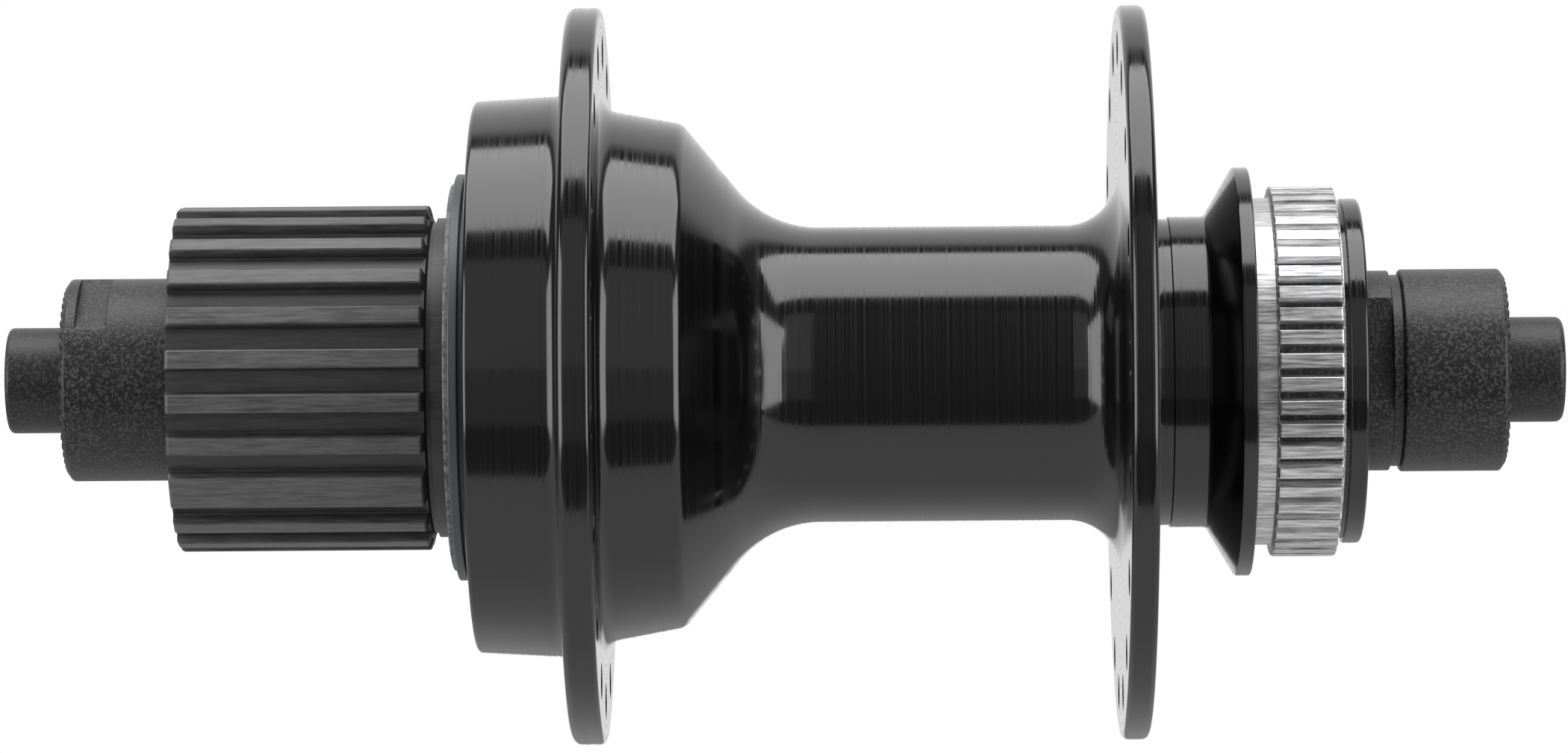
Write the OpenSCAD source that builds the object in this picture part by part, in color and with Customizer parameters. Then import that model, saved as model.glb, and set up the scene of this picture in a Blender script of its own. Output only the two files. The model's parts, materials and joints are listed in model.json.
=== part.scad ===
// Rear bicycle hub with a freehub, cup-and-cone bearings and a splined rotor mount.
// The axle lies along X, with the cassette side at -X and the rotor side at +X.
// The origin is on the axle, midway between the two faces that meet the frame's dropouts.

/* [Axle] */
// Length of the axle over its ends
axle_length = 146; // [143:1:150]
// Distance between the two locknut faces
dropout_width = 135; // [135:1:136]
// Radius of the plain ends that sit in the dropouts
axle_end_r = 4.95; // [4.9:0.05:5]
// Radius of the threaded middle
axle_thread_r = 4.7; // [4.6:0.05:4.75]
// Radius of the hole for the quick-release skewer
skewer_bore_r = 2.6; // [2.5:0.1:2.8]

/* [Locknuts] */
// Radius of both locknuts
locknut_r = 9.5; // [9:0.1:10]
// Length of the cassette side locknut
drive_locknut_length = 11.1; // [11:0.1:11.1]
// Length of the rotor side locknut
brake_locknut_length = 9.9; // [9:0.1:9.9]
// Number of radial teeth on each locknut face
face_teeth = 48; // [36:1:54]
// Depth of those teeth
face_tooth_depth = 0.35; // [0.2:0.05:0.5]
// Radius at which those teeth begin
face_tooth_r = 6.2; // [5.8:0.1:7]
// Width across the spanner slots of the cassette side locknut
locknut_flats = 17; // [16:0.5:18]

/* [Flanges] */
// Radius of the cassette side flange
drive_flange_r = 34.6; // [34:0.1:36]
// Left face of the cassette side flange
drive_flange_x = -20.2; // [-20.4:0.1:-20]
// Thickness of the cassette side flange
drive_flange_t = 3.1; // [2.8:0.1:3.3]
// Radius of the rotor side flange
brake_flange_r = 34.5; // [34:0.1:36]
// Left face of the rotor side flange
brake_flange_x = 31.25; // [31:0.05:31.4]
// Thickness of the rotor side flange
brake_flange_t = 2.55; // [2.3:0.05:2.8]

/* [Spoke holes] */
// Spoke holes in each flange
spoke_holes = 18; // [16:2:20]
// Diameter of the spoke hole circle
spoke_pcd = 61; // [60:0.5:62]
// Radius of a spoke hole
spoke_hole_r = 1.3; // [1.2:0.05:1.4]
// Depth of the bevel at each end of a spoke hole
spoke_bevel = 0.45; // [0.3:0.05:0.6]

/* [Barrel] */
// Radius of the barrel between the flanges
barrel_r = 13.86; // [13.5:0.01:14.5]
// Radius of the hollow inside the barrel
barrel_bore_r = 11.5; // [10.5:0.1:12]
// Radius of the drum outside the cassette side flange
drum_r = 26.3; // [25.5:0.1:27]

/* [Rotor mount] */
// Number of rotor splines
rotor_splines = 50; // [40:1:56]
// Outer radius of the rotor splines
rotor_spline_r = 17.4; // [17.2:0.1:17.6]
// Radius at the bottom of the spline grooves
rotor_root_r = 16.6; // [16.4:0.1:16.8]
// Radius of the lockring thread inside the rotor mount
rotor_lockring_r = 14.6; // [14.2:0.1:14.8]

/* [Cassette body] */
// Radius over the cassette splines
driver_land_r = 16.2; // [16:0.1:16.4]
// Radius at the bottom of the cassette spline grooves
driver_groove_r = 15.1; // [15:0.1:15.3]
// Number of narrow splines, beside the one wide spline
driver_lands = 23; // [23:1:23]
// Angle that a narrow spline covers
narrow_land = 6; // [5:0.5:7]
// Angle that the wide spline covers
wide_land = 13.2; // [12:0.2:14]
// Angle between the wide spline's centre and the next spline's centre
wide_land_step = 18.25; // [18:0.25:19]
// Radius of the lockring thread in the mouth
driver_mouth_r = 13.9; // [13.8:0.05:14]

/* [Axle bearings] */
// Radius of an axle bearing ball
ball_r = 3.175; // [3.17:0.005:3.175]
// Balls on each side
ball_count = 9; // [7:1:9]
// Radius of the circle through the ball centres
ball_pitch_r = 9.4; // [9.4:0.05:9.5]
// Play between a ball and its race
race_play = 0.045; // [0.03:0.005:0.06]

/* [Freehub bearings] */
// Radius of a freehub bearing ball
small_ball_r = 1.5875; // [1.5:0.0125:1.5875]
// Balls in each row
small_ball_count = 22; // [18:1:22]
// Radius of the circle through the small ball centres
small_pitch_r = 11.7; // [11.7:0.02:11.74]

/* [Ratchet] */
// Number of ratchet teeth
ratchet_teeth = 24; // [24:12:24]
// Radius of the ratchet tooth tips
ratchet_tip_r = 12; // [12:0.05:12.1]
// Radius of the ratchet tooth roots
ratchet_root_r = 12.8; // [12.8:0.05:12.9]
// Radius at which a pawl's pivot lies
pawl_pivot_r = 9.6; // [9.6:0.02:9.64]
// Radius of a pawl's round heel
pawl_heel_r = 1.3; // [1.25:0.01:1.3]
// Angle from a pawl's pivot to its tip
pawl_span = 35; // [34:0.5:35]
// Width of a pawl along the axle
pawl_width = 4.9; // [4.5:0.1:4.9]

/* [Hidden] */
$fn = 120;

// clearances between pieces
thread_fit = 0.01;
running_fit = 0.1;
past = 0.2;

// arcs in a turned outline get one point about every so many degrees
arc_step = 7.5;

// stations along the axle
axle_end_x = axle_length / 2;
locknut_face_x = dropout_width / 2;
plain_end_x = locknut_face_x + 0.1;
drive_locknut_inner_x = -locknut_face_x + drive_locknut_length;
brake_locknut_inner_x = locknut_face_x - brake_locknut_length;
spacer_x = [-56, -54];
drive_ball_x = -49;
brake_ball_x = 43.6;
cone_lip = 1.2;
cup_depth = 4.4;
driver_x = [-56.9, -29.35];
land_end_x = -33.45;
undercut_x = [-32.95, -32.55];
mouth_end_x = -53;
outer_row_x = -42.6;
inner_row_x = -33;
ratchet_x = [-40.9, -35];
ratchet_end_x = -32.2;
pawl_mid_x = -37.9;
pawl_x = [pawl_mid_x - pawl_width / 2, pawl_mid_x + pawl_width / 2];
thread_x = [-44, -41.5];
bolt_head_x = -44.2;
shim_x = [-41.4, -41];
inner_flange_x = -30.6;
socket_x = [-24.5, -20.5];
web_end_x = -15;
drum_x = -29.05;
seal_flange_x = [-30.75, -29.85];
seal_lip_x = -31.25;
seal_ring_end_x = -27;
seal_lip_end_x = -28;
barrel_x = 3.2;
neck_end_x = 39.35;
cup_seat_x = brake_ball_x - cup_depth;
rotor_disc_x = [42.05, 43.45];
rotor_spline_x = [45.4, 51.45];
collar_x = [52.05, 53.8];
rotor_mouth_x = 47.7;
seal_brake_x = [46.9, 47.6];
dust_cover_x = [48, 48.7];
dust_cap_x = [-52.95, -52.3];
cone_brake_end_x = brake_locknut_inner_x - 1;
cone_flats_x = 54;

// radii
drum_edge_r = 25.9;
waist_r = 25.05;
shoulder = [-9.62, 23.68];
waist_fillet_r = 10;
waist_slope = 50;
neck_r = 14.6;
disc_r = 19.2;
rotor_relief_r = 16.3;
collar_r = 16.2;
collar_relief_r = 15.8;
dust_cover_r = 14.2;
seal_seat_r = 18.4;
seal_flange_r = 19.1;
seal_lip_r = 18.2;
seal_split_r = 16.7;
driver_neck_r = 15;
driver_undercut_r = 14.6;
cup_r = 13.4;
cup_lip_r = 9.8;
driver_bore_r = 13.6;
driver_race_r = 12.3;
ratchet_ring_r = 13.9;
drive_cone_r = 9.3;
brake_cone_r = 9.4;
sleeve_r = 11.5;
inner_thread_r = 9.4;
pawl_body_r = 10.8;
race_body_r = 11.6;
inner_flange_r = 13;
socket_r = 10.5;
bolt_r = 7;
bolt_head_r = 8.2;
bolt_bore_r = 5.3;
bolt_hex = 10;
pawl_floor_r = 8.2;
pawl_tip_outer_r = 12.5;
pawl_tip_inner_r = 11.5;
pawl_slot_r = 9.75;
spring_r = 10.4;
spring_wire_r = 0.35;
spring_slot_x = [pawl_mid_x - 0.55, pawl_mid_x + 0.55];

// angles about the axle, counted from +Y towards +Z
drive_hole_angle = 107.5;
brake_hole_angle = 97.5;
rotor_groove_angle = 180.4;
rotor_groove_share = [0.42, 0.16];
wide_land_angle = 221.1;
locknut_flat_angle = 123;
cone_flat_angle = 171;
pawl_angle = 90;
// the round of the heel, from the tail to the tip side
pawl_heel_arc = [222, -15];
// angle that a pawl swings out by, from folded in to fully in mesh
pawl_swing = 9;
// angle between the tip of a pawl in mesh and the steep side of the tooth behind it
pawl_tooth_gap = 2.1;
cone_flats = 15;

// share of the tooth pitch that a groove between two face teeth takes up
face_tooth_share = 0.8;
locknut_bevel = 0.6;
locknut_edge = 0.5;
locknut_face_edge = 0.7;

// where the spanner slots begin and end, counted from the locknut face
locknut_slot = [1.5, 4.4];

driver_pitch = (360 - 2 * wide_land_step) / (driver_lands - 1);

// ---- helpers ----

function polar(r, a) = r * [cos(a), sin(a)];

function unit(v) = v / norm(v);

function flat(p) = [p[0], p[1]];

// the shorter way round from one direction to another
function sweep(from, to) =
    let (d = to - from) d > 180 ? d - 360 : d < -180 ? d + 360 : d;

// points of the arc of radius r that rounds the corner b between a and c
function corner(a, b, c, r) =
    let (
        u = unit(a - b),
        v = unit(c - b),
        half = acos(u * v) / 2,
        centre = b + unit(u + v) * r / sin(half),
        first = b + u * r / tan(half) - centre,
        last = b + v * r / tan(half) - centre,
        from = atan2(first[1], first[0]),
        turn = sweep(from, atan2(last[1], last[0])),
        steps = max(2, ceil(abs(turn) / arc_step))
    )
    [for (k = [0:steps]) centre + polar(r, from + turn * k / steps)];

// an outline of [x, radius, optional corner radius] as plain points
function rounded(outline) =
    let (n = len(outline))
    [for (i = [0:n - 1])
        let (b = outline[i])
        each len(b) < 3
            ? [b]
            : corner(flat(outline[(i + n - 1) % n]), flat(b), flat(outline[(i + 1) % n]), b[2])];

// a solid turned about the axle
module lathe(outline) {
    rotate([0, 90, 0])
        rotate_extrude()
            polygon([for (p = rounded(outline)) [p[1], p[0]]]);
}

module ring(x, r_in, r_out, edge = 0.1) {
    lathe([[x[0], r_in], [x[0], r_out, edge], [x[1], r_out, edge], [x[1], r_in]]);
}

// a flat shape in the Y-Z plane, drawn out along the axle
module along_x(x) {
    translate([x[0], 0, 0])
        rotate([90, 0, 90])
            linear_extrude(x[1] - x[0])
                children();
}

module race(x, pitch_r, r) {
    translate([x, 0, 0])
        rotate([0, 90, 0])
            rotate_extrude()
                translate([pitch_r, 0])
                    circle(r);
}

module around(count, start = 0) {
    for (k = [0:count - 1])
        rotate([start + k * 360 / count, 0, 0])
            children();
}

module balls(x, pitch_r, r, count) {
    around(count)
        translate([x, pitch_r, 0])
            sphere(r);
}

module wedge(angle, width, r) {
    polygon([[0, 0], polar(r, angle - width / 2), polar(r, angle + width / 2)]);
}

// cuts two flats, each at half the width from the axle
module flats(x, width, angle) {
    along_x(x)
        for (side = [0, 180])
            rotate(angle + side)
                translate([width / 2, -20])
                    square([10, 40]);
}

// ---- axle group ----

module axle() {
    color("#6d6f72")
        lathe([
            [-axle_end_x, skewer_bore_r],
            [-axle_end_x, axle_end_r, 0.5],
            [-plain_end_x, axle_end_r],
            [-plain_end_x, axle_thread_r],
            [plain_end_x, axle_thread_r],
            [plain_end_x, axle_end_r],
            [axle_end_x, axle_end_r, 0.7],
            [axle_end_x, skewer_bore_r],
        ]);
}

// a locknut with its toothed face at x = 0, lying on the -X side of it
module locknut(length) {
    half_tooth = face_tooth_share * PI * face_tooth_r / face_teeth;
    difference() {
        lathe([
            [-locknut_bevel, axle_thread_r + thread_fit],
            [0, axle_thread_r + thread_fit + locknut_bevel],
            [0, locknut_r - locknut_face_edge],
            [-locknut_edge, locknut_r],
            [-length, locknut_r, 0.3],
            [-length, axle_thread_r + thread_fit],
        ]);
        around(face_teeth)
            translate([0, 0, face_tooth_r])
                linear_extrude(locknut_r)
                    polygon([[past, -half_tooth], [past, half_tooth], [-face_tooth_depth, 0]]);
    }
}

module locknut_drive() {
    slot_x = [-locknut_face_x + locknut_slot[0], -locknut_face_x + locknut_slot[1]];
    color("#2b2c2e")
        difference() {
            translate([-locknut_face_x, 0, 0])
                mirror([1, 0, 0])
                    locknut(drive_locknut_length);
            flats(slot_x, locknut_flats, locknut_flat_angle);
        }
}

module locknut_brake() {
    color("#2b2c2e")
        translate([locknut_face_x, 0, 0])
            locknut(brake_locknut_length);
}

module cone_drive() {
    color("#8d8f92")
        difference() {
            ring([spacer_x[1], drive_ball_x + cone_lip], axle_thread_r + thread_fit, drive_cone_r);
            race(drive_ball_x, ball_pitch_r, ball_r + race_play);
        }
}

module cone_brake() {
    color("#2b2c2e")
        difference() {
            ring([brake_ball_x - cone_lip, cone_brake_end_x], axle_thread_r + thread_fit, brake_cone_r);
            race(brake_ball_x, ball_pitch_r, ball_r + race_play);
            flats([cone_flats_x, cone_brake_end_x + past], cone_flats, cone_flat_angle);
        }
}

module spacer_drive() {
    color("#8d8f92") ring(spacer_x, axle_thread_r + thread_fit, 8.2);
}

module washer_drive() {
    color("#8d8f92") ring([drive_locknut_inner_x, spacer_x[0]], axle_thread_r + thread_fit, 8.5);
}

module washer_brake() {
    color("#2b2c2e") ring([cone_brake_end_x, brake_locknut_inner_x], axle_thread_r + thread_fit, 9);
}

module dust_cover_brake() {
    color("#5a5c5f") ring(dust_cover_x, brake_cone_r + thread_fit, dust_cover_r);
}

module bearing_balls_drive() {
    color("#d8dadc") balls(drive_ball_x, ball_pitch_r, ball_r, ball_count);
}

module bearing_balls_brake() {
    color("#d8dadc") balls(brake_ball_x, ball_pitch_r, ball_r, ball_count);
}

// ---- hub body ----

// spoke holes through a flange between x[0] and x[1], bevelled at both faces
module flange_holes(x, start) {
    bevel_r = spoke_hole_r + spoke_bevel;
    around(spoke_holes, start)
        translate([x[0], spoke_pcd / 2, 0])
            rotate([0, 90, 0]) {
                translate([0, 0, -past])
                    cylinder(h = x[1] - x[0] + 2 * past, r = spoke_hole_r);
                cylinder(h = spoke_bevel, r1 = bevel_r, r2 = spoke_hole_r);
                translate([0, 0, x[1] - x[0] - spoke_bevel])
                    cylinder(h = spoke_bevel, r1 = spoke_hole_r, r2 = bevel_r);
            }
}

module rotor_grooves() {
    pitch = 360 / rotor_splines;
    top = pitch * rotor_groove_share[0] / 2;
    root = pitch * rotor_groove_share[1] / 2;
    over = rotor_spline_r + 1;
    along_x([rotor_spline_x[0] - past, rotor_spline_x[1] + past])
        for (k = [0:rotor_splines - 1])
            rotate(rotor_groove_angle + k * pitch)
                polygon([
                    polar(rotor_root_r, -root), polar(rotor_spline_r, -top), polar(over, -top),
                    polar(over, top), polar(rotor_spline_r, top), polar(rotor_root_r, root),
                ]);
}

module hub_shell() {
    drive_right = drive_flange_x + drive_flange_t;
    brake_right = brake_flange_x + brake_flange_t;
    // where the slope of the waist runs out into the fillet of the barrel
    slope_end = [barrel_x, barrel_r + waist_fillet_r] + polar(waist_fillet_r, 270 - waist_slope);
    color("#19191b")
        difference() {
            lathe(concat(
                [
                    [drum_x, seal_seat_r + thread_fit],
                    [drum_x, drum_edge_r, 0.5],
                    [drive_flange_x - 1.9, drum_r],
                    [drive_flange_x, drum_r, 1.5],
                    [drive_flange_x, drive_flange_r, 0.9],
                    [drive_right, drive_flange_r, 0.5],
                    [drive_right, waist_r, 1.7],
                    [shoulder[0], shoulder[1], 1.5],
                ],
                [for (a = [270 - waist_slope:5:270])
                    [barrel_x, barrel_r + waist_fillet_r] + polar(waist_fillet_r, a)],
                [
                    [brake_flange_x, barrel_r, 4.9],
                    [brake_flange_x, brake_flange_r, 0.65],
                    [brake_right, brake_flange_r, 0.7],
                    [brake_right, neck_r, 1.8],
                    [neck_end_x, neck_r, 0.5],
                    [rotor_disc_x[0], disc_r, 0.3],
                    [rotor_disc_x[1], disc_r, 0.2],
                    [rotor_disc_x[1], rotor_relief_r],
                    [rotor_spline_x[0], rotor_relief_r],
                    [rotor_spline_x[0], rotor_spline_r, 0.3],
                    [rotor_spline_x[1], rotor_spline_r, 0.3],
                    [rotor_spline_x[1], collar_relief_r],
                    [collar_x[0], collar_relief_r],
                    [collar_x[0], collar_r, 0.2],
                    [collar_x[1], collar_r, 0.4],
                    [collar_x[1], rotor_lockring_r],
                    [rotor_mouth_x, rotor_lockring_r],
                    [rotor_mouth_x, cup_r],
                    [cup_seat_x, cup_r],
                    [cup_seat_x, barrel_bore_r],
                    [web_end_x + 2, barrel_bore_r, 1.5],
                    [web_end_x, 8.5],
                    [web_end_x, bolt_r + thread_fit],
                    [socket_x[1], bolt_r + thread_fit],
                    [socket_x[1], socket_r],
                    [socket_x[0], socket_r],
                    [socket_x[0], seal_seat_r + thread_fit],
                ]
            ));
            flange_holes([drive_flange_x, drive_right], drive_hole_angle);
            flange_holes([brake_flange_x, brake_right], brake_hole_angle);
            rotor_grooves();
        }
}

module cup_brake() {
    color("#9b9da0")
        difference() {
            ring([cup_seat_x, brake_ball_x + cone_lip], cup_lip_r, cup_r - thread_fit);
            race(brake_ball_x, ball_pitch_r, ball_r + race_play);
        }
}

module seal_brake() {
    color("#101011") ring(seal_brake_x, brake_cone_r + running_fit, cup_r - thread_fit, 0.05);
}

module cup_drive() {
    color("#9b9da0")
        difference() {
            lathe([
                [drive_ball_x - cone_lip, cup_lip_r],
                [drive_ball_x - cone_lip, cup_r, 0.2],
                [drive_ball_x + cup_depth, cup_r, 0.2],
                [drive_ball_x + cup_depth, sleeve_r],
                [thread_x[1], sleeve_r],
                [thread_x[1], inner_thread_r + thread_fit],
                [thread_x[0] - past, inner_thread_r + thread_fit],
                [thread_x[0] - past, cup_lip_r - 1],
                [drive_ball_x + cup_depth - 1, cup_lip_r - 1],
            ]);
            race(drive_ball_x, ball_pitch_r, ball_r + race_play);
            race(outer_row_x, small_pitch_r, small_ball_r + race_play);
        }
}

// the milled seat of a pawl whose pivot lies on the first axis
module pawl_pocket() {
    seat_r = pawl_heel_r + 0.05;
    along_x([pawl_x[0] - 0.05, pawl_x[1] + 0.05])
        rotate(pawl_angle) {
            translate([pawl_pivot_r, 0])
                circle(seat_r);
            polygon([
                [pawl_pivot_r, seat_r], [14, seat_r], [14, -9],
                [pawl_floor_r, -9], [pawl_floor_r, 0], [pawl_pivot_r, 0],
            ]);
        }
}

module freehub_inner_body() {
    bore_r = bolt_r + running_fit;
    color("#85878a")
        difference() {
            lathe([
                [thread_x[0], bolt_head_r + running_fit],
                [thread_x[0], inner_thread_r],
                [thread_x[1], inner_thread_r],
                [thread_x[1], 10.3],
                [shim_x[1], 10.3],
                [shim_x[1], pawl_body_r],
                [inner_row_x, pawl_body_r],
                [inner_row_x, race_body_r],
                [inner_flange_x, race_body_r],
                [inner_flange_x, inner_flange_r],
                [socket_x[0], inner_flange_r],
                [socket_x[0], socket_r - thread_fit],
                [socket_x[1], socket_r - thread_fit],
                [socket_x[1], bore_r],
                [shim_x[1], bore_r],
                [shim_x[1], bolt_head_r + running_fit],
            ]);
            race(inner_row_x, small_pitch_r, small_ball_r + race_play);
            around(2)
                pawl_pocket();
            race(pawl_mid_x, spring_r, spring_wire_r + race_play);
            ring(spring_slot_x, spring_r, 12, 0);
        }
}

module freehub_shim() {
    color("#9b9da0") ring(shim_x, bolt_r + running_fit, bolt_head_r, 0.05);
}

module freehub_bolt() {
    color("#85878a")
        difference() {
            lathe([
                [bolt_head_x, bolt_bore_r],
                [bolt_head_x, bolt_head_r, 0.4],
                [shim_x[0], bolt_head_r],
                [shim_x[0], bolt_r],
                [web_end_x, bolt_r, 0.3],
                [web_end_x, bolt_bore_r],
            ]);
            translate([bolt_head_x - past, 0, 0])
                rotate([0, 90, 0])
                    cylinder(h = 7, r = bolt_hex / 2 / cos(30), $fn = 6);
        }
}

// open wire ring that holds both pawls out
module pawl_spring() {
    color("#c9cbce")
        translate([pawl_mid_x, 0, 0])
            rotate([0, 90, 0])
                rotate([0, 0, 100])
                    rotate_extrude(angle = 340)
                        translate([spring_r, 0])
                            circle(spring_wire_r);
}

module hub_seal_ring() {
    color("#77797c")
        lathe([
            [seal_flange_x[0], seal_split_r],
            [seal_flange_x[0], seal_flange_r, 0.15],
            [seal_flange_x[1], seal_flange_r, 0.15],
            [seal_flange_x[1], seal_seat_r],
            [seal_ring_end_x, seal_seat_r],
            [seal_ring_end_x, seal_split_r],
        ]);
}

module hub_seal_lip() {
    lip_r = driver_neck_r + running_fit;
    color("#2a2a2c")
        lathe([
            [seal_lip_x, lip_r],
            [seal_lip_x, seal_lip_r, 0.2],
            [seal_flange_x[0], seal_lip_r],
            [seal_flange_x[0], seal_split_r],
            [seal_lip_end_x, seal_split_r],
            [seal_lip_end_x, lip_r],
        ]);
}

// ---- pawls ----

// a pawl folded in by the full swing of its hinge, as it is when its tip passes over a tooth
module pawl() {
    heel = [pawl_pivot_r, 0];
    arc = [for (a = [pawl_heel_arc[0]:-arc_step:pawl_heel_arc[1]]) heel + polar(pawl_heel_r, a)];
    tip = [polar(pawl_tip_outer_r, -pawl_span), polar(pawl_tip_inner_r, -pawl_span)];
    hinge = concat(0, polar(pawl_pivot_r, pawl_angle));
    color("#b9bbbe")
        translate(hinge)
            rotate([-pawl_swing, 0, 0])
                translate(-hinge)
                    difference() {
                        along_x(pawl_x)
                            rotate(pawl_angle)
                                polygon(concat(tip, arc));
                        ring(spring_slot_x, pawl_slot_r, 14, 0);
                    }
}

module pawl_a() {
    pawl();
}

module pawl_b() {
    rotate([180, 0, 0]) pawl();
}

// ---- cassette body ----

// the gaps between the splines, as a flat shape
module driver_grooves() {
    side_gap = wide_land_step - (wide_land + narrow_land) / 2;
    side_at = (wide_land + side_gap) / 2;
    difference() {
        union() {
            for (k = [0:driver_lands - 2])
                wedge(wide_land_angle + wide_land_step + (k + 0.5) * driver_pitch,
                      driver_pitch - narrow_land, 20);
            for (side = [-1, 1])
                wedge(wide_land_angle + side * side_at, side_gap, 20);
        }
        circle(driver_groove_r);
    }
}

module driver_body() {
    color("#4a4b4e")
        difference() {
            lathe([
                [driver_x[0], driver_mouth_r],
                [driver_x[0], driver_land_r, 0.4],
                [land_end_x, driver_land_r, 0.2],
                [land_end_x + 0.3, driver_groove_r],
                [undercut_x[0], driver_undercut_r],
                [undercut_x[1], driver_undercut_r],
                [undercut_x[1], driver_neck_r],
                [driver_x[1], driver_neck_r, 0.2],
                [driver_x[1], ratchet_ring_r + thread_fit],
                [ratchet_x[0], ratchet_ring_r + thread_fit],
                [ratchet_x[0], driver_race_r],
                [outer_row_x, driver_race_r],
                [outer_row_x, driver_bore_r],
                [mouth_end_x, driver_bore_r],
                [mouth_end_x, driver_mouth_r],
            ]);
            along_x([driver_x[0] - past, land_end_x + 0.3])
                driver_grooves();
            race(outer_row_x, small_pitch_r, small_ball_r + race_play);
        }
}

module ratchet_ring() {
    step = 360 / ratchet_teeth;
    // the steep side of one tooth stands behind the tip of the first pawl
    steep = pawl_angle - pawl_span - pawl_tooth_gap;
    color("#a7a9ac")
        difference() {
            ring([ratchet_x[0], ratchet_end_x], 11, ratchet_ring_r);
            along_x([ratchet_x[0] - past, ratchet_x[1]])
                polygon([
                    for (k = [0:ratchet_teeth - 1])
                        each [polar(ratchet_tip_r, steep - k * step),
                              polar(ratchet_root_r, steep - (k + 1) * step)]
                ]);
            ring([ratchet_x[1] - past, inner_row_x], 10, ratchet_tip_r + 0.2, 0);
            ring([inner_row_x, ratchet_end_x + past], 10, small_pitch_r + small_ball_r + 0.1, 0);
            race(inner_row_x, small_pitch_r, small_ball_r + race_play);
        }
}

module driver_dust_cap() {
    color("#3a3b3d")
        ring(dust_cap_x, drive_cone_r + running_fit, driver_bore_r - thread_fit, 0.05);
}

module driver_balls_outer() {
    color("#d8dadc") balls(outer_row_x, small_pitch_r, small_ball_r, small_ball_count);
}

module driver_balls_inner() {
    color("#d8dadc") balls(inner_row_x, small_pitch_r, small_ball_r, small_ball_count);
}

axle();
cone_drive();
spacer_drive();
washer_drive();
locknut_drive();
cone_brake();
dust_cover_brake();
washer_brake();
locknut_brake();
bearing_balls_drive();
bearing_balls_brake();
hub_shell();
cup_brake();
seal_brake();
freehub_inner_body();
freehub_bolt();
freehub_shim();
cup_drive();
pawl_spring();
hub_seal_ring();
hub_seal_lip();
pawl_a();
pawl_b();
driver_body();
ratchet_ring();
driver_dust_cap();
driver_balls_outer();
driver_balls_inner();
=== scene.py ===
import json
import math

import bmesh
import bpy
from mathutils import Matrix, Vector


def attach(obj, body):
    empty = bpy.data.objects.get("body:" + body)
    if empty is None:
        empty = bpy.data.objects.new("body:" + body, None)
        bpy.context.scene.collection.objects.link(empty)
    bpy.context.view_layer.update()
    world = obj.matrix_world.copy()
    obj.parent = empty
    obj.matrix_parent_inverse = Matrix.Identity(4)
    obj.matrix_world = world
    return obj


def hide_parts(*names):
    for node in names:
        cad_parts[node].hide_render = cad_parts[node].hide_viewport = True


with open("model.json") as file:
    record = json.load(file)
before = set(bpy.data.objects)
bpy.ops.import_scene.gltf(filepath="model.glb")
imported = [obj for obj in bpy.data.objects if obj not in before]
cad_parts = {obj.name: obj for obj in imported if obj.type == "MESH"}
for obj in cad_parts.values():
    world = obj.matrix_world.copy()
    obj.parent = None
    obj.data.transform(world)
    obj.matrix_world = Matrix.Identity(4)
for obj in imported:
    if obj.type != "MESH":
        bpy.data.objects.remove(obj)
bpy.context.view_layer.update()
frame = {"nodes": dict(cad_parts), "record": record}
nodes = frame["nodes"]

MM = 0.001

# The part of a noise's 0 to 1 that nearly all of it lies in
MARK_SPAN = (0.3, 0.7)

# Driving sizes of the turned pieces, in millimetres. X runs along the axle, radii are about it.
AXLE_END_X = 73.0
AXLE_END_R = 4.95
SKEWER_BORE_R = 2.6
LOCKNUT_FACE_X = 67.5
LOCKNUT_R = 9.5
FACE_TEETH = 48
FACE_TOOTH_DEPTH = 0.35
FACE_TEETH_FROM_R = 6.15
THREAD_R = 4.71
DRUM_X = -29.05
DRIVE_FLANGE_X = (-20.2, -17.1)
DRIVE_FLANGE_R = 34.6
BRAKE_FLANGE_X = (31.25, 33.8)
BRAKE_FLANGE_R = 34.5
BARREL_R = 13.86
BARREL_X = 3.2
WAIST_FILLET_R = 10
SPOKE_CIRCLE_R = 30.5
SPOKE_HOLES = 18
SPOKE_HOLE_R = 1.3
NECK_END_X = 39.35
ROTOR_DISC_X = 43.45
ROTOR_DISC_R = 19.2
ROTOR_SPLINES = 50
ROTOR_SPLINE_X = (45.4, 51.45)
ROTOR_SPLINE_R = 17.4
ROTOR_GROOVE_DEPTH = 0.8
COLLAR_END_X = 53.8
DRIVER_X = (-56.9, -29.35)
DRIVER_LANDS = 23
DRIVER_LAND_R = 16.2
DRIVER_ROOT_R = 15.1
LAND_WIDTH = 6.0
WIDE_LAND_WIDTH = 13.2
WIDE_LAND_AT = 221.1
WIDE_LAND_PITCH = 18.25

# points around a plain turned piece
ROUND = 256


# ---------------------------------------------------------------- outlines

def corner_arc(a, b, c, radius):
    """Points of the arc of that radius that rounds corner b between a and c."""
    a, b, c = Vector(a[:2]), Vector(b[:2]), Vector(c[:2])
    u, v = (a - b).normalized(), (c - b).normalized()
    half = u.angle(v) / 2
    centre = b + (u + v).normalized() * radius / math.sin(half)
    first = b + u * radius / math.tan(half) - centre
    last = b + v * radius / math.tan(half) - centre
    turn = first.angle_signed(last)
    steps = max(3, math.ceil(abs(math.degrees(turn)) / 4))
    arc = []
    for k in range(steps + 1):
        angle = math.atan2(first.y, first.x) - turn * k / steps
        arc.append(centre + radius * Vector((math.cos(angle), math.sin(angle))))
    return arc


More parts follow.
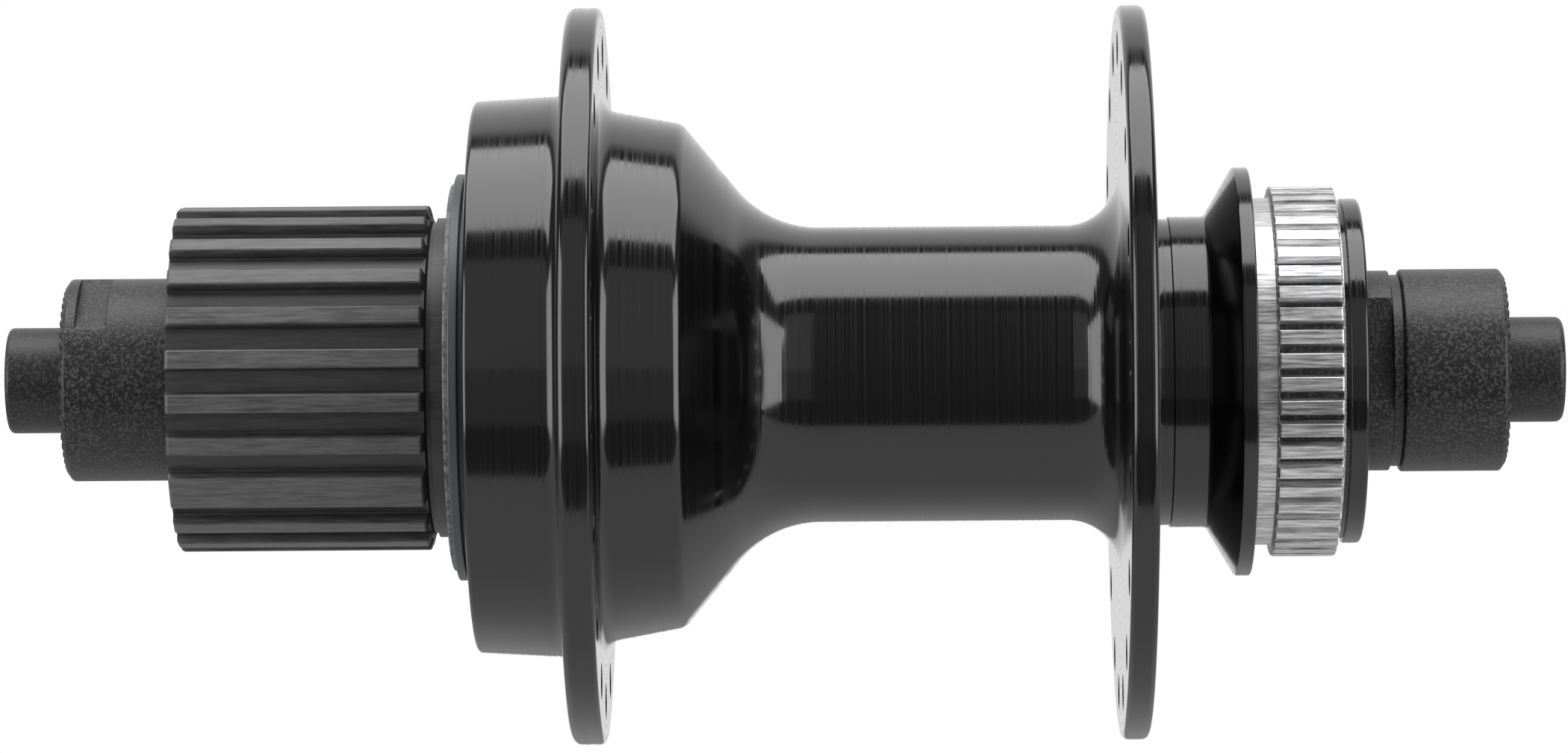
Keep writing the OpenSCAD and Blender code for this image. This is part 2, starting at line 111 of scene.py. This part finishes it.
def rounded(outline, hold=0.03):
    """An outline of (x, radius[, corner radius]) as points, with a close pair of rows beside
    each end of a straight run, so that smooth shading leaves the run straight."""
    points = []
    count = len(outline)
    for i, spot in enumerate(outline):
        before, after = outline[i - 1], outline[(i + 1) % count]
        if len(spot) > 2 and spot[2] > 0:
            points += corner_arc(before, spot, after, spot[2])
        else:
            points.append(Vector(spot[:2]))
    held = []
    for i, here in enumerate(points):
        after = points[(i + 1) % len(points)]
        run = (after - here).length
        held.append(here)
        if run > 6 * hold:
            step = (after - here).normalized() * hold
            held += [here + step, after - step]
    return held


def even(count, start=0.0):
    return [start + 360 * k / count for k in range(count)]


def turned(name, outline, body, material, stands_for=(), angles=None, carve=None, sharp=28):
    """A piece turned on the axle. carve(x, r, angle) may move a point, for teeth and splines."""
    angles = angles or even(ROUND)
    rows = rounded(outline)
    verts = []
    for x, r in rows:
        for angle in angles:
            px, pr = carve(x, r, angle) if carve else (x, r)
            a = math.radians(angle)
            verts.append((px * MM, pr * math.cos(a) * MM, pr * math.sin(a) * MM))
    n, m = len(rows), len(angles)
    faces = []
    for i in range(n):
        for j in range(m):
            k, l = (i + 1) % n, (j + 1) % m
            faces.append((i * m + j, k * m + j, k * m + l, i * m + l))
    mesh = bpy.data.meshes.new(name)
    mesh.from_pydata(verts, [], faces)
    piece = bpy.data.objects.new(name, mesh)
    bpy.context.scene.collection.objects.link(piece)
    settle(piece, sharp)
    mesh.materials.append(material)
    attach(piece, body)
    if stands_for:
        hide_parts(*stands_for)
    return piece


def settle(piece, sharp):
    """Faces outwards, merged points, smooth shading with sharp edges past that angle."""
    work = bmesh.new()
    work.from_mesh(piece.data)
    bmesh.ops.remove_doubles(work, verts=work.verts, dist=2e-7)
    bmesh.ops.dissolve_degenerate(work, edges=work.edges, dist=1e-7)
    bmesh.ops.recalc_face_normals(work, faces=work.faces)
    work.to_mesh(piece.data)
    work.free()
    for face in piece.data.polygons:
        face.use_smooth = True
    piece.data.set_sharp_from_angle(angle=math.radians(sharp))


# ---------------------------------------------------------------- materials

def linear(text):
    """An sRGB hex colour as linear RGBA."""
    values = [int(text[i:i + 2], 16) / 255 for i in (1, 3, 5)]
    return [v / 12.92 if v <= 0.04045 else ((v + 0.055) / 1.055) ** 2.4 for v in values] + [1.0]


def add(tree, kind, links=(), **settings):
    """Adds a node. links are (socket, source socket); settings name sockets or properties."""
    node = tree.nodes.new(kind)
    for key, value in settings.items():
        if hasattr(node, key):
            setattr(node, key, value)
        else:
            node.inputs[key.replace("_", " ")].default_value = value
    for socket, source in links:
        tree.links.new(source, node.inputs[socket])
    return node


def surface(name, colour, metallic, roughness, ior=None):
    """A material with one Principled shader, and that shader and its tree."""
    material = bpy.data.materials.new(name)
    material.use_nodes = True
    tree = material.node_tree
    shader = tree.nodes["Principled BSDF"]
    shader.inputs["Base Color"].default_value = linear(colour)
    shader.inputs["Metallic"].default_value = metallic
    shader.inputs["Roughness"].default_value = roughness
    if ior:
        shader.inputs["IOR"].default_value = ior
    return material, tree, shader


def axle_distance(tree, place):
    """The distance from the axle's line, in metres."""
    across = add(tree, "ShaderNodeVectorMath", [(0, place.outputs["Object"])], operation="MULTIPLY")
    across.inputs[1].default_value = (0, 1, 1)
    length = add(tree, "ShaderNodeVectorMath", [(0, across.outputs[0])], operation="LENGTH")
    return length.outputs["Value"]


def turning_marks(tree, per_mm):
    """The fine rings that a lathe tool leaves: they vary along the axle and across faces."""
    place = add(tree, "ShaderNodeTexCoord")
    parts = add(tree, "ShaderNodeSeparateXYZ", [(0, place.outputs["Object"])])
    along = add(tree, "ShaderNodeMath", [(0, parts.outputs[0]), (1, axle_distance(tree, place))],
                operation="ADD")
    marks = add(tree, "ShaderNodeTexNoise", [("W", along.outputs[0])], noise_dimensions="1D",
                Scale=per_mm / MM, Detail=3.0, Roughness=0.6)
    return marks.outputs[0]


def streaks(tree, place, stretch, per_mm, roughness):
    """Uneven marks drawn out along the axle."""
    drawn = add(tree, "ShaderNodeVectorMath", [(0, place.outputs["Object"])], operation="MULTIPLY")
    drawn.inputs[1].default_value = (stretch, 1, 1)
    marks = add(tree, "ShaderNodeTexNoise", [("Vector", drawn.outputs[0])],
                Scale=per_mm / MM, Detail=4.0, Roughness=roughness)
    return marks.outputs[0]


def grains(tree, per_mm, detail, roughness):
    """Marks that are alike in every direction."""
    place = add(tree, "ShaderNodeTexCoord")
    marks = add(tree, "ShaderNodeTexNoise", [("Vector", place.outputs["Object"])],
                Scale=per_mm / MM, Detail=detail, Roughness=roughness)
    return marks.outputs[0]


def vary(tree, shader, marks, colours=(), span=MARK_SPAN, shine=(), relief=()):
    """Lets marks change a finish: the colour between two hex colours as the marks cross the span,
    the roughness between two values, and the height by a strength and a depth in millimetres."""
    if colours:
        factor = add(tree, "ShaderNodeMapRange", [("Value", marks)],
                     From_Min=span[0], From_Max=span[1])
        mix = add(tree, "ShaderNodeMix", [("Factor", factor.outputs["Result"])], data_type="RGBA")
        mix.inputs[6].default_value = linear(colours[0])
        mix.inputs[7].default_value = linear(colours[1])
        tree.links.new(mix.outputs[2], shader.inputs["Base Color"])
    if shine:
        rough = add(tree, "ShaderNodeMapRange", [("Value", marks)],
                    From_Min=MARK_SPAN[0], From_Max=MARK_SPAN[1], To_Min=shine[0], To_Max=shine[1])
        tree.links.new(rough.outputs["Result"], shader.inputs["Roughness"])
    if relief:
        height = add(tree, "ShaderNodeBump", [("Height", marks)],
                     Strength=relief[0], Distance=relief[1] * MM)
        tree.links.new(height.outputs[0], shader.inputs["Normal"])


def black_anodised_aluminium():
    # Turned 6061 alloy under a clear black oxide: deep, wet-looking, with fine rings in its shine.
    material, tree, shader = surface("black_anodised_aluminium", "#09090a", 0.0, 0.09, 1.6)
    # real tool marks are 0.05 mm apart; drawn at about 0.3 mm so that they show
    marks = turning_marks(tree, 3.4)
    vary(tree, shader, marks, ("#060607", "#0f0f10"), shine=(0.07, 0.2), relief=(0.8, 0.004))
    return material


def machined_aluminium():
    # Bare alloy straight from the cutter: bright but rough, with chatter drawn out along the axle.
    material, tree, shader = surface("machined_aluminium", "#d8d8d9", 1.0, 0.42)
    place = add(tree, "ShaderNodeTexCoord")
    # real chatter is finer than 0.1 mm; drawn at about 0.25 mm so that it shows
    chatter = streaks(tree, place, 0.06, 4.2, 0.7)
    vary(tree, shader, chatter, ("#8c8c8d", "#e4e4e5"), (0.36, 0.62), (0.3, 0.46), (0.6, 0.02))
    return material


def matt_driver_alloy():
    # Hard-anodised alloy, dull grey-black, with drag marks along the splines. The grooves are
    # painted darker than the tops, darker the deeper they go: painted shade in the grooves.
    material, tree, shader = surface("matt_driver_alloy", "#343435", 0.0, 0.42, 1.55)
    place = add(tree, "ShaderNodeTexCoord")
    # real drag marks are finer than 0.1 mm; drawn at about 0.3 mm so that they show
    drag = streaks(tree, place, 0.08, 3.0, 0.75)
    # painted shade: the colour darkens from the land tops down to the groove floors
    groove_shade = add(tree, "ShaderNodeMapRange", [("Value", axle_distance(tree, place))],
               From_Min=15.25 * MM, From_Max=16.1 * MM, To_Min=0.25, To_Max=1.0)
    marked = add(tree, "ShaderNodeMapRange", [("Value", drag)],
                 From_Min=0.36, From_Max=0.62, To_Min=0.35, To_Max=1.0)
    groove_shade_and_marks = add(tree, "ShaderNodeMath", [(0, groove_shade.outputs["Result"]), (1, marked.outputs["Result"])],
               operation="MULTIPLY")
    vary(tree, shader, groove_shade_and_marks.outputs[0], ("#101011", "#555556"), span=(0, 1))
    vary(tree, shader, drag, shine=(0.36, 0.52), relief=(0.7, 0.016))
    return material


def black_oxide_steel():
    # Blasted steel with a black oxide coat: a fine, dark, grainy skin.
    material, tree, shader = surface("black_oxide_steel", "#141415", 0.0, 0.4, 1.5)
    # blasting grit leaves pits of about 0.1 mm; drawn at 0.3 mm so that they show
    grit = grains(tree, 3.3, 3.0, 0.65)
    vary(tree, shader, grit, ("#020203", "#3c3c3e"), (0.48, 0.6), (0.34, 0.5), (1.0, 0.05))
    return material


def dark_axle_steel():
    # Chromoly tube, blackened: dark, with the same blasted grain as the locknuts.
    material, tree, shader = surface("dark_axle_steel", "#141415", 0.0, 0.38, 1.5)
    grit = grains(tree, 3.3, 3.0, 0.65)
    vary(tree, shader, grit, ("#020203", "#2e2e30"), (0.48, 0.6), (0.34, 0.5), (1.0, 0.05))
    return material


def ground_steel():
    # Hardened steel, ground: grey and slightly ringed.
    material, tree, shader = surface("ground_steel", "#8f9194", 1.0, 0.3)
    vary(tree, shader, turning_marks(tree, 6), relief=(0.5, 0.002))
    return material


def polished_bearing_steel():
    # Chrome steel balls and wire, lapped bright, with only a breath of oil.
    material, tree, shader = surface("polished_bearing_steel", "#d4d6d8", 1.0, 0.1)
    vary(tree, shader, grains(tree, 0.9, 2.0, 0.5), shine=(0.06, 0.16))
    return material


def satin_seal_steel():
    # Pressed steel shield: satin grey, with faint rings.
    material, tree, shader = surface("satin_seal_steel", "#55565a", 0.5, 0.45)
    vary(tree, shader, turning_marks(tree, 5), relief=(0.5, 0.003))
    return material


def seal_rubber():
    # Moulded nitrile rubber: black, matt, faintly pitted.
    material, tree, shader = surface("seal_rubber", "#141414", 0.0, 0.55, 1.52)
    vary(tree, shader, grains(tree, 2.4, 2.0, 0.5), relief=(0.4, 0.01))
    return material


def dusty_seal_rubber():
    # The hub seal's lip: moulded grey rubber under a film of grease and dust.
    material, tree, shader = surface("dusty_seal_rubber", "#565657", 0.0, 0.5, 1.52)
    dust = grains(tree, 1.5, 5.0, 0.7)
    vary(tree, shader, dust, ("#2f2f30", "#7b7b7c"), (0.36, 0.64), relief=(0.6, 0.02))
    return material


ANODISED = black_anodised_aluminium()
MACHINED = machined_aluminium()
DRIVER_ALLOY = matt_driver_alloy()
BLACK_OXIDE = black_oxide_steel()
AXLE_STEEL = dark_axle_steel()
GROUND = ground_steel()
POLISHED = polished_bearing_steel()
SATIN = satin_seal_steel()
RUBBER = seal_rubber()
DUSTY_RUBBER = dusty_seal_rubber()

FINISH_OF_SLOT = {
    "axle_steel": AXLE_STEEL,
    "ground_steel": GROUND,
    "bearing_steel": POLISHED,
    "satin_steel": SATIN,
    "black_oxide_steel": BLACK_OXIDE,
    "black_anodised_aluminium": ANODISED,
    "dark_driver_alloy": DRIVER_ALLOY,
    "seal_rubber": RUBBER,
}


def finish_cad_nodes():
    for part in frame["record"]["subparts"]:
        data = nodes[part["node"]].data
        data.materials.clear()
        data.materials.append(FINISH_OF_SLOT[part["material_slot"]])
        for face in data.polygons:
            face.use_smooth = True
        data.set_sharp_from_angle(angle=math.radians(30))


# ---------------------------------------------------------------- axle and locknuts

def make_axle():
    # the rotor end was left with fine turned rings
    rings = []
    pitch, groove = 0.235, 0.025
    x = LOCKNUT_FACE_X + 0.5
    while x < AXLE_END_X - 1.0:
        rings += [(x, AXLE_END_R), (x + pitch / 2, AXLE_END_R - groove)]
        x += pitch
    step_x, core_r = LOCKNUT_FACE_X + 0.1, 4.7
    turned("axle_piece", [
        (-AXLE_END_X, SKEWER_BORE_R), (-AXLE_END_X, AXLE_END_R, 0.5), (-step_x, AXLE_END_R),
        (-step_x, core_r), (step_x, core_r), (step_x, AXLE_END_R),
        *rings, (AXLE_END_X, AXLE_END_R, 0.7), (AXLE_END_X, SKEWER_BORE_R),
    ], "axle_group", AXLE_STEEL, ["axle"])


def face_teeth(x, r, angle, outward):
    """Radial V teeth in a locknut's outer face."""
    share = (angle * FACE_TEETH / 360) % 1
    groove = max(0.0, 1 - abs(share - 0.5) * 2 / 0.8) * FACE_TOOTH_DEPTH
    if r > FACE_TEETH_FROM_R and outward * x > LOCKNUT_FACE_X - groove:
        x = outward * (LOCKNUT_FACE_X - groove)
    return x, r


def make_locknut(name, outward, length, flats):
    face, back = outward * LOCKNUT_FACE_X, outward * (LOCKNUT_FACE_X - length)
    slot = (outward * (LOCKNUT_FACE_X - 4.4), outward * (LOCKNUT_FACE_X - 1.5))
    slot_r, slot_turn = 8.5, 123

    def carve(x, r, angle):
        x, r = face_teeth(x, r, angle, outward)
        if flats and min(slot) < x < max(slot) and r > slot_r - 0.5:
            # two flat-bottomed spanner slots, on opposite sides
            off = abs((angle - slot_turn + 90) % 180 - 90)
            r = min(r, slot_r / math.cos(math.radians(off)))
        return x, r

    run = [(outward * (LOCKNUT_FACE_X - 0.5), LOCKNUT_R, 0.4)]
    if flats:
        for edge in (slot[1], slot[0]):
            run += [(edge + 0.0005, LOCKNUT_R), (edge - 0.0005, LOCKNUT_R)][::-outward]
    turned(name, [
        (outward * (LOCKNUT_FACE_X - 0.6), THREAD_R), (face, THREAD_R + 0.6),
        (face, FACE_TEETH_FROM_R - 0.05), (face, FACE_TEETH_FROM_R + 0.05),
        (face, LOCKNUT_R - 0.7, 0.3), *run, (back, LOCKNUT_R, 0.3), (back, THREAD_R),
    ], "axle_group", BLACK_OXIDE, [name],
        angles=even(FACE_TEETH * 8), carve=carve, sharp=24)


# ---------------------------------------------------------------- hub shell

def spoke_cutters():
    """Plugs for every spoke hole, bevelled where they leave the flange."""
    verts, faces = [], []
    sides = 40
    bevel, past = 0.45, 0.2
    for (x0, x1), start in ((DRIVE_FLANGE_X, 107.5), (BRAKE_FLANGE_X, 97.5)):
        mouth_r, past_r = SPOKE_HOLE_R + bevel, SPOKE_HOLE_R + bevel + past
        rows = [(x0 - past, past_r), (x0, mouth_r), (x0 + bevel, SPOKE_HOLE_R),
                (x1 - bevel, SPOKE_HOLE_R), (x1, mouth_r), (x1 + past, past_r)]
        for angle in even(SPOKE_HOLES, start):
            cy = SPOKE_CIRCLE_R * math.cos(math.radians(angle))
            cz = SPOKE_CIRCLE_R * math.sin(math.radians(angle))
            base = len(verts)
            for x, r in rows:
                for k in range(sides):
                    a = 2 * math.pi * k / sides
                    verts.append((x * MM, (cy + r * math.cos(a)) * MM, (cz + r * math.sin(a)) * MM))
            for i in range(len(rows) - 1):
                for k in range(sides):
                    n = (k + 1) % sides
                    faces.append((base + i * sides + k, base + i * sides + n,
                                  base + (i + 1) * sides + n, base + (i + 1) * sides + k))
            last = base + (len(rows) - 1) * sides
            faces.append(tuple(base + k for k in range(sides))[::-1])
            faces.append(tuple(last + k for k in range(sides)))
    mesh = bpy.data.meshes.new("spoke_cutters")
    mesh.from_pydata(verts, [], faces)
    cutters = bpy.data.objects.new("spoke_cutters", mesh)
    bpy.context.scene.collection.objects.link(cutters)
    work = bmesh.new()
    work.from_mesh(mesh)
    bmesh.ops.recalc_face_normals(work, faces=work.faces)
    work.to_mesh(mesh)
    work.free()
    return cutters


def make_shell():
    waist = []
    for a in range(0, 51, 2):
        angle = math.radians(220 + a)
        waist.append((BARREL_X + WAIST_FILLET_R * math.cos(angle),
                      BARREL_R + WAIST_FILLET_R + WAIST_FILLET_R * math.sin(angle)))
    (drive_out, drive_in), (brake_in, brake_out) = DRIVE_FLANGE_X, BRAKE_FLANGE_X
    drum_bore_r, cup_bore_r, hollow_r, neck_r = 18.41, 13.4, 11.5, 14.6
    shell = turned("shell_body", [
        # drum, drive flange, shoulder and waist
        (DRUM_X, drum_bore_r), (DRUM_X, 25.9, 0.5), (-22.1, 26.3), (drive_out, 26.3, 1.5),
        (drive_out, DRIVE_FLANGE_R, 0.9), (drive_in, DRIVE_FLANGE_R, 0.5), (drive_in, 25.05, 1.7),
        (-9.62, 23.68, 1.5), *waist,
        # brake flange, neck and rotor disc
        (brake_in, BARREL_R, 4.9), (brake_in, BRAKE_FLANGE_R, 0.65),
        (brake_out, BRAKE_FLANGE_R, 0.7), (brake_out, neck_r - 0.2, 1.2), (35.9, neck_r - 0.2),
        (36.0, neck_r, 0.05), (NECK_END_X, neck_r, 0.5), (42.05, ROTOR_DISC_R, 0.3),
        (ROTOR_DISC_X, ROTOR_DISC_R, 0.2),
        # cup seat, hollow, the wall that the freehub bolt clamps, and the drum's inside
        (ROTOR_DISC_X, cup_bore_r), (39.2, cup_bore_r), (39.2, hollow_r), (-13.0, hollow_r, 1.5),
        (-15.0, 8.5), (-15.0, 7.01), (-20.5, 7.01), (-20.5, 10.5), (-24.5, 10.5),
        (-24.5, drum_bore_r),
    ], "hub", ANODISED, ["hub_shell"])
    cutters = spoke_cutters()
    cut = shell.modifiers.new("spoke_holes", "BOOLEAN")
    cut.operation = "DIFFERENCE"
    cut.solver = "EXACT"
    cut.object = cutters
    bpy.context.view_layer.update()
    drilled = shell.evaluated_get(bpy.context.evaluated_depsgraph_get())
    done = bpy.data.meshes.new_from_object(drilled)
    shell.modifiers.clear()
    shell.data = done
    bpy.data.objects.remove(cutters)
    for face in done.polygons:
        face.use_smooth = True
    done.set_sharp_from_angle(angle=math.radians(28))
    return shell


def make_rotor_mount():
    pitch = 360 / ROTOR_SPLINES
    first_groove = 180.4
    # where a groove's points lie, as shares of the pitch, and how deep they are
    groove = ((-0.5, 0), (-0.35, 0), (-0.235, 0), (-0.21, 0.06), (-0.08, 1), (0, 1),
              (0.08, 1), (0.21, 0.06), (0.235, 0), (0.35, 0))
    angles, depth = [], {}
    for k in range(ROTOR_SPLINES):
        for share, deep in groove:
            angles.append(first_groove + k * pitch + share * pitch)
            depth[angles[-1]] = deep

    def carve(x, r, angle):
        return x, min(r, ROTOR_SPLINE_R - ROTOR_GROOVE_DEPTH * depth[angle])

    start, end = ROTOR_SPLINE_X
    relief_r, mouth_r, collar_r = 16.3, 14.6, 16.2
    turned("rotor_splines", [
        (ROTOR_DISC_X, 14.0), (ROTOR_DISC_X, relief_r), (start, relief_r, 0.15),
        (start, ROTOR_SPLINE_R, 0.3), (end, ROTOR_SPLINE_R, 0.3), (end, 15.8),
        (51.65, 15.8), (51.65, mouth_r), (47.7, mouth_r), (47.7, 14.0),
    ], "hub", MACHINED, ["hub_shell"],
        angles=angles, carve=carve, sharp=20)
    # a dark ring in the groove floors: painted shade in the grooves
    floor_r = 16.68
    turned("rotor_groove_shade", [
        (start + 0.1, 16.0), (start + 0.1, floor_r), (end - 0.1, floor_r), (end - 0.1, 16.0),
    ], "hub", BLACK_OXIDE, ["hub_shell"])
    turned("rotor_collar", [
        (end, mouth_r + 0.02), (end, 15.75), (52.05, 15.75), (52.05, collar_r, 0.2),
        (COLLAR_END_X, collar_r, 0.4), (COLLAR_END_X, mouth_r, 0.2), (51.65, mouth_r),
    ], "hub", ANODISED, ["hub_shell"])


def make_seals():
    seam_r, lip_r = 16.7, 15.1
    turned("seal_shield", [
        (-30.75, seam_r), (-30.75, 19.1, 0.15), (-29.85, 19.1, 0.15), (-29.85, 18.4),
        (-27.0, 18.4), (-27.0, seam_r),
    ], "hub", SATIN, ["hub_seal_ring"])
    turned("seal_rubber_lip", [
        (-31.25, lip_r), (-31.25, 18.2, 0.2), (-30.75, 18.2), (-30.75, seam_r),
        (-28.0, seam_r), (-28.0, lip_r),
    ], "hub", DUSTY_RUBBER, ["hub_seal_lip"])


# ---------------------------------------------------------------- cassette body

def make_driver():
    pitch = (360 - 2 * WIDE_LAND_PITCH) / (DRIVER_LANDS - 1)
    lands = [(WIDE_LAND_AT, WIDE_LAND_WIDTH)]
    for k in range(DRIVER_LANDS):
        lands.append((WIDE_LAND_AT + WIDE_LAND_PITCH + k * pitch, LAND_WIDTH))
    # a land's flank leans a little and its edge is broken: degrees past the edge, and radius
    foot = 0.75
    flank = ((foot, DRIVER_ROOT_R), (0.45, 15.2), (0.1, 15.95), (0, 16.12), (-0.4, DRIVER_LAND_R))
    angles, top = [], {}

    def put(angle, r):
        angles.append(angle)
        top[angle] = r

    for i, (middle, width) in enumerate(lands):
        half = width / 2
        for out, r in flank:
            put(middle - half - out, r)
        steps = 3 if width < 10 else 6
        for k in range(1, steps):
            put(middle - half + 0.4 + (width - 0.8) * k / steps, DRIVER_LAND_R)
        for out, r in flank[::-1]:
            put(middle + half + out, r)
        following, following_width = lands[(i + 1) % len(lands)]
        gap = (following - following_width / 2 - middle - half) % 360
        for k in (1, 2, 3):
            put(middle + half + foot + (gap - 2 * foot) * k / 4, DRIVER_ROOT_R)

    outer_end, inner_end = DRIVER_X
    lands_end = -33.45

    def carve(x, r, angle):
        return x, min(r, top[angle]) if x < lands_end + 0.35 else r

    turned("driver_spline_body", [
        # lands, undercut and neck
        (outer_end, 13.9, 0.2), (outer_end, DRIVER_LAND_R, 0.4), (lands_end, DRIVER_LAND_R, 0.25),
        (-33.15, DRIVER_ROOT_R), (-32.95, 14.6), (-32.55, 14.6), (-32.55, 15.0),
        (inner_end, 15.0, 0.2),
        # ratchet seat, the wall between, race seat and lockring thread
        (inner_end, 13.91), (-40.9, 13.91), (-40.9, 12.3), (-41.05, 12.3), (-41.05, 13.45),
        (-44.3, 13.45), (-44.3, 13.6), (-53.0, 13.6), (-53.0, 13.9),
    ], "cassette_body", DRIVER_ALLOY, ["driver_body"],
        angles=angles, carve=carve, sharp=24)


# ---------------------------------------------------------------- light and camera

def make_stage():
    floor_z, side, front, back = -0.25, 2, -0.30, 1.2
    mesh = bpy.data.meshes.new("floor")
    corners = [(-side, front, floor_z), (side, front, floor_z),
               (side, back, floor_z), (-side, back, floor_z)]
    mesh.from_pydata(corners, [], [(0, 1, 2, 3)])
    floor = bpy.data.objects.new("floor", mesh)
    bpy.context.scene.collection.objects.link(floor)
    # Painted board: pale grey, matt and plain, so that it only carries soft light.
    mesh.materials.append(surface("pale_floor", "#c6c6c6", 0.0, 0.9)[0])


def area(name, place, aim, size, radiance):
    """A rectangular lamp of that brightness at its face, aimed at a point and not seen itself."""
    data = bpy.data.lights.new(name, "AREA")
    data.shape = "RECTANGLE"
    data.size, data.size_y = size
    data.energy = radiance * size[0] * size[1] * math.pi
    light = bpy.data.objects.new(name, data)
    light.location = place
    light.rotation_euler = (Vector(aim) - Vector(place)).to_track_quat("-Z", "Y").to_euler()
    light.visible_camera = False
    bpy.context.scene.collection.objects.link(light)
    return light


def make_light():
    top = area("softbox", (0.0, -0.062, 0.6), (0.0, -0.062, 0.0), (1.1, 0.514), 3.6)
    top.rotation_euler = (0, 0, 0)
    # dim fill beside the camera, dimmer below, with a dark gap where the camera stands
    width = 0.6
    levels = (("upper_fill", 0.04, 0.78, 0.4), ("lower_fill", -0.24, 0.04, 0.2))
    for side, gap in ((-1, 0.03), (1, 0.07)):
        for name, low, high, radiance in levels:
            place = (side * (gap + width / 2), -0.68, (low + high) / 2)
            fill = area(name, place, (0, 0, 0), (width, high - low), radiance)
            fill.rotation_euler = (math.pi / 2, 0, 0)
    # tall panels on both sides, which light the fillets and the edges that face them
    for side in (-1, 1):
        area("side_panel", (side * 0.9, -0.55, 0.16), (0, 0, 0.16), (0.75, 1.0), 3.6)
    world = bpy.data.worlds.new("studio")
    bpy.context.scene.world = world
    world.use_nodes = True
    tree = world.node_tree
    tree.nodes.clear()
    place = add(tree, "ShaderNodeTexCoord")
    parts = add(tree, "ShaderNodeSeparateXYZ", [(0, place.outputs["Generated"])])
    # white behind the object, dark in front of it
    shade = add(tree, "ShaderNodeMapRange", [("Value", parts.outputs[1])],
                From_Min=0.44, From_Max=0.56, To_Min=0.13, To_Max=1.0)
    path = add(tree, "ShaderNodeLightPath")
    seen = add(tree, "ShaderNodeMath",
               [(0, path.outputs["Is Camera Ray"]), (1, shade.outputs["Result"])],
               operation="MAXIMUM")
    sky = add(tree, "ShaderNodeBackground", [("Strength", seen.outputs[0])], Color=(1, 1, 1, 1))
    add(tree, "ShaderNodeOutputWorld", [("Surface", sky.outputs[0])])


def make_camera():
    data = bpy.data.cameras.new("camera")
    data.sensor_width = 36
    data.lens = 155.14
    data.shift_x = -0.0548
    data.clip_start, data.clip_end = 0.05, 50
    camera = bpy.data.objects.new("camera", data)
    camera.location = (0.0079, -0.636, -0.0002)
    camera.rotation_euler = (math.pi / 2, math.radians(0.433), 0)
    bpy.context.scene.collection.objects.link(camera)
    bpy.context.scene.camera = camera
    bpy.context.scene.view_settings.view_transform = "Standard"


make_camera()
make_light()
make_stage()
finish_cad_nodes()
make_axle()
make_locknut("locknut_drive", -1, 10.5, flats=True)
make_locknut("locknut_brake", 1, 9.9, flats=False)
make_shell()
make_rotor_mount()
make_seals()
make_driver()
